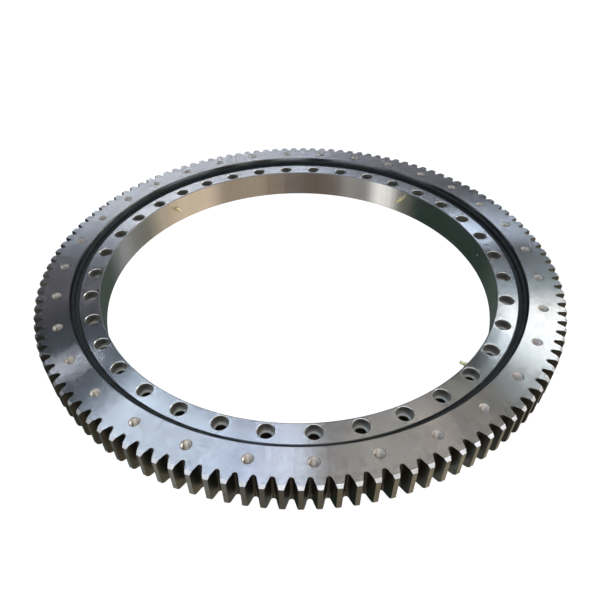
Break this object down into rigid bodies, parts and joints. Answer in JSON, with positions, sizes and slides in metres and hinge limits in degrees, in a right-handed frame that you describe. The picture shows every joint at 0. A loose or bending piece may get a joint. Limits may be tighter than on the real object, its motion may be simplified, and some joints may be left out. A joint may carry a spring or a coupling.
{
  "type": "slewing ring bearing",
  "caption": "Large single-row ball slewing ring with external spur gear teeth, counterbored inner ring bolt holes, tapped outer ring holes and rubber seals.",
  "frame": {"origin": "on the axis of rotation, in the plane of the inner ring's bottom face", "axes": "+Z along the axis of rotation, towards the counterbored side; +X through the middle of one inner bolt hole"},
  "size_m": [0.9884, 0.9884, 0.075],
  "materials": {
    "inner_ring_steel": "fine turned, satin, with circular lay",
    "gear_ring_steel": "turned faces, darker hobbed tooth flanks",
    "seal_rubber": "smooth black",
    "plug_steel": "turned",
    "pin_steel": "ground",
    "nipple_brass": "yellow passivated",
    "cage_brass": "satin",
    "ball_steel": "polished"
  },
  "bodies": {
    "inner_ring": {"inner_ring": "inner_ring_steel", "lower_seal": "seal_rubber", "filler_plug": "plug_steel", "filler_pin": "pin_steel", "grease_nipple_1": "nipple_brass", "grease_nipple_2": "nipple_brass", "grease_nipple_3": "nipple_brass"},
    "outer_ring": {"outer_gear_ring": "gear_ring_steel", "upper_seal": "seal_rubber"},
    "cage": {"ball_cage": "cage_brass", "ball_01": "ball_steel", "ball_02": "ball_steel", "ball_03": "ball_steel", "ball_04": "ball_steel", "ball_05": "ball_steel", "ball_06": "ball_steel", "ball_07": "ball_steel", "ball_08": "ball_steel", "ball_09": "ball_steel", "ball_10": "ball_steel", "ball_11": "ball_steel", "ball_12": "ball_steel", "ball_13": "ball_steel", "ball_14": "ball_steel", "ball_15": "ball_steel", "ball_16": "ball_steel", "ball_17": "ball_steel", "ball_18": "ball_steel", "ball_19": "ball_steel", "ball_20": "ball_steel", "ball_21": "ball_steel", "ball_22": "ball_steel", "ball_23": "ball_steel", "ball_24": "ball_steel", "ball_25": "ball_steel", "ball_26": "ball_steel", "ball_27": "ball_steel", "ball_28": "ball_steel", "ball_29": "ball_steel", "ball_30": "ball_steel", "ball_31": "ball_steel", "ball_32": "ball_steel", "ball_33": "ball_steel", "ball_34": "ball_steel", "ball_35": "ball_steel", "ball_36": "ball_steel", "ball_37": "ball_steel", "ball_38": "ball_steel", "ball_39": "ball_steel", "ball_40": "ball_steel", "ball_41": "ball_steel", "ball_42": "ball_steel", "ball_43": "ball_steel", "ball_44": "ball_steel", "ball_45": "ball_steel", "ball_46": "ball_steel"}
  },
  "joints": [
    {"name": "ring_rotation", "type": "hinge", "parent": "inner_ring", "child": "outer_ring", "pos_m": [0, 0, 0.036], "axis": [0, 0, 1], "continuous": true},
    {"name": "cage_orbit", "type": "hinge", "parent": "inner_ring", "child": "cage", "pos_m": [0, 0, 0.036], "axis": [0, 0, 1], "continuous": true}
  ],
  "couplings": [
    {"joint": "cage_orbit", "follows": "ring_rotation", "ratio": 0.50832}
  ]
}
